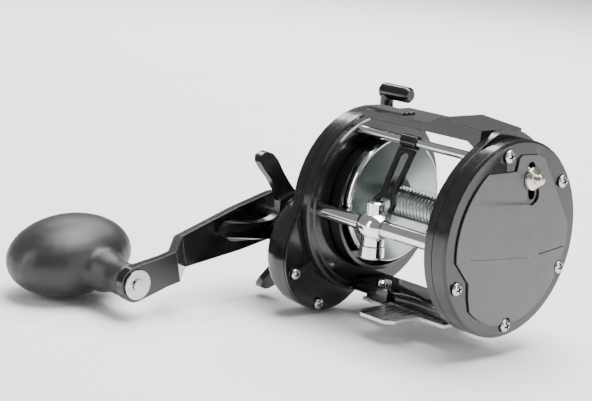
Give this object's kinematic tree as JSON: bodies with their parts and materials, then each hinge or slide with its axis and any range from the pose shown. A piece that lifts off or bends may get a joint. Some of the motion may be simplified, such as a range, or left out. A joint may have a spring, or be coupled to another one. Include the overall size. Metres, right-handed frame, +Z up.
{
  "type": "trolling reel",
  "caption": "Level-wind trolling reel: cranked spool with star drag, free-spool lever and clicker, on a stamped foot that clamps to a rod's reel seat.",
  "frame": {"origin": "on the foot's bottom face, under the middle of the spool", "axes": "+X towards the plain side plate and -X towards the crank, along the spool axis; -Y towards the level wind and the rod tip; +Z up, away from the rod"},
  "size_m": [0.1866, 0.1811, 0.1036],
  "materials": {
    "badge_plate": "satin",
    "carriage": "polished",
    "click_gear": "machined",
    "clicker_button": "machined",
    "clicker_tongue": "matte",
    "clutch_cam": "satin",
    "clutch_lever": "gloss",
    "clutch_yoke": "satin",
    "cover_screw_1": "satin",
    "cover_screw_2": "satin",
    "cover_screw_3": "satin",
    "cover_screw_4": "satin",
    "cover_screw_5": "satin",
    "drag_plate": "satin",
    "drag_washer_inner": "soft satin",
    "drag_washer_outer": "soft satin",
    "drive_gear": "matte",
    "foot_block": "gloss",
    "foot_bridge": "gloss",
    "foot_stud": "polished",
    "gear_housing": "gloss",
    "gear_plate": "gloss",
    "guide_bush": "gloss",
    "guide_rod": "polished",
    "handle_arm": "gloss",
    "handle_nut": "polished",
    "housing_screw_1": "satin",
    "housing_screw_2": "satin",
    "knob": "soft satin",
    "knob_spindle": "satin",
    "knob_washer": "satin",
    "left_cup": "matte",
    "left_ring": "gloss",
    "line_guide": "gloss",
    "main_gear": "machined",
    "main_shaft": "satin",
    "nut_screw": "polished",
    "one_way_bearing": "satin",
    "pawl": "machined",
    "pawl_cap": "polished",
    "pinion": "machined",
    "rear_bar": "gloss",
    "reel_foot": "satin",
    "right_cup": "matte",
    "right_ring": "gloss",
    "side_plate": "gloss",
    "spool": "anodised",
    "spool_bearing_left": "satin",
    "spool_bearing_right": "satin",
    "spool_cap": "gloss",
    "spool_shaft": "satin",
    "star_wheel": "gloss",
    "thumb_pad": "matte",
    "top_bar": "gloss",
    "worm_gear": "matte",
    "worm_shaft": "satin",
    "worm_tube": "polished",
    "yoke_post_1": "satin",
    "yoke_post_2": "satin"
  },
  "bodies": {
    "frame": {"left_ring": "left_ring", "right_ring": "right_ring", "left_cup": "left_cup", "right_cup": "right_cup", "top_bar": "top_bar", "foot_bridge": "foot_bridge", "rear_bar": "rear_bar", "thumb_pad": "thumb_pad", "side_plate": "side_plate", "badge_plate": "badge_plate", "cover_screw_1": "cover_screw_1", "cover_screw_2": "cover_screw_2", "cover_screw_3": "cover_screw_3", "cover_screw_4": "cover_screw_4", "cover_screw_5": "cover_screw_5", "spool_bearing_left": "spool_bearing_left", "spool_bearing_right": "spool_bearing_right", "gear_housing": "gear_housing", "spool_cap": "spool_cap", "gear_plate": "gear_plate", "housing_screw_1": "housing_screw_1", "housing_screw_2": "housing_screw_2", "yoke_post_1": "yoke_post_1", "yoke_post_2": "yoke_post_2", "one_way_bearing": "one_way_bearing", "worm_tube": "worm_tube", "guide_rod": "guide_rod", "reel_foot": "reel_foot", "foot_block": "foot_block", "foot_stud": "foot_stud"},
    "crank": {"main_shaft": "main_shaft", "main_gear": "main_gear", "drive_gear": "drive_gear", "drag_washer_inner": "drag_washer_inner", "drag_plate": "drag_plate", "drag_washer_outer": "drag_washer_outer", "handle_arm": "handle_arm", "handle_nut": "handle_nut", "nut_screw": "nut_screw", "knob_spindle": "knob_spindle", "knob_washer": "knob_washer"},
    "spool_set": {"spool": "spool", "spool_shaft": "spool_shaft", "click_gear": "click_gear"},
    "yoke": {"clutch_yoke": "clutch_yoke"},
    "pinion_set": {"pinion": "pinion"},
    "worm": {"worm_shaft": "worm_shaft", "worm_gear": "worm_gear"},
    "star": {"star_wheel": "star_wheel"},
    "grip": {"knob": "knob"},
    "line_carriage": {"carriage": "carriage", "pawl_cap": "pawl_cap", "pawl": "pawl", "line_guide": "line_guide", "guide_bush": "guide_bush"},
    "clutch": {"clutch_cam": "clutch_cam", "clutch_lever": "clutch_lever"},
    "clicker": {"clicker_button": "clicker_button", "clicker_tongue": "clicker_tongue"}
  },
  "joints": [
    {"name": "handle_crank", "type": "hinge", "parent": "frame", "child": "crank", "pos_m": [0, -0.02164, 0.02709], "axis": [1, 0, 0], "continuous": true},
    {"name": "spool_spin", "type": "hinge", "parent": "frame", "child": "spool_set", "pos_m": [0, 0.0006, 0.0441], "axis": [1, 0, 0], "continuous": true},
    {"name": "clutch_yoke_slide", "type": "slide", "parent": "frame", "child": "yoke", "axis": [-1, 0, 0], "range_m": [0, 0.0026]},
    {"name": "pinion_spin", "type": "hinge", "parent": "yoke", "child": "pinion_set", "pos_m": [0, 0.0006, 0.0441], "axis": [1, 0, 0], "continuous": true},
    {"name": "worm_spin", "type": "hinge", "parent": "frame", "child": "worm", "pos_m": [0, -0.03412, 0.04006], "axis": [1, 0, 0], "continuous": true},
    {"name": "star_turn", "type": "hinge", "parent": "crank", "child": "star", "pos_m": [0, -0.02164, 0.02709], "axis": [1, 0, 0], "range_deg": [-180, 180]},
    {"name": "knob_spin", "type": "hinge", "parent": "crank", "child": "grip", "pos_m": [0, -0.10673, 0.00667], "axis": [1, 0, 0], "continuous": true},
    {"name": "carriage_slide", "type": "slide", "parent": "frame", "child": "line_carriage", "axis": [1, 0, 0], "range_m": [-0.017, 0.017]},
    {"name": "clutch_lever_turn", "type": "hinge", "parent": "frame", "child": "clutch", "pos_m": [0, 0.0006, 0.0441], "axis": [-1, 0, 0], "range_deg": [0, 28]},
    {"name": "clicker_slide", "type": "slide", "parent": "frame", "child": "clicker", "axis": [0, 0.2673, -0.9636], "range_m": [0, 0.007]}
  ],
  "couplings": [
    {"joint": "spool_spin", "follows": "handle_crank", "ratio": -3},
    {"joint": "pinion_spin", "follows": "handle_crank", "ratio": -3},
    {"joint": "worm_spin", "follows": "handle_crank", "ratio": -2.75},
    {"joint": "clutch_yoke_slide", "follows": "clutch_lever_turn", "m_per_rad": 0.0051157}
  ]
}
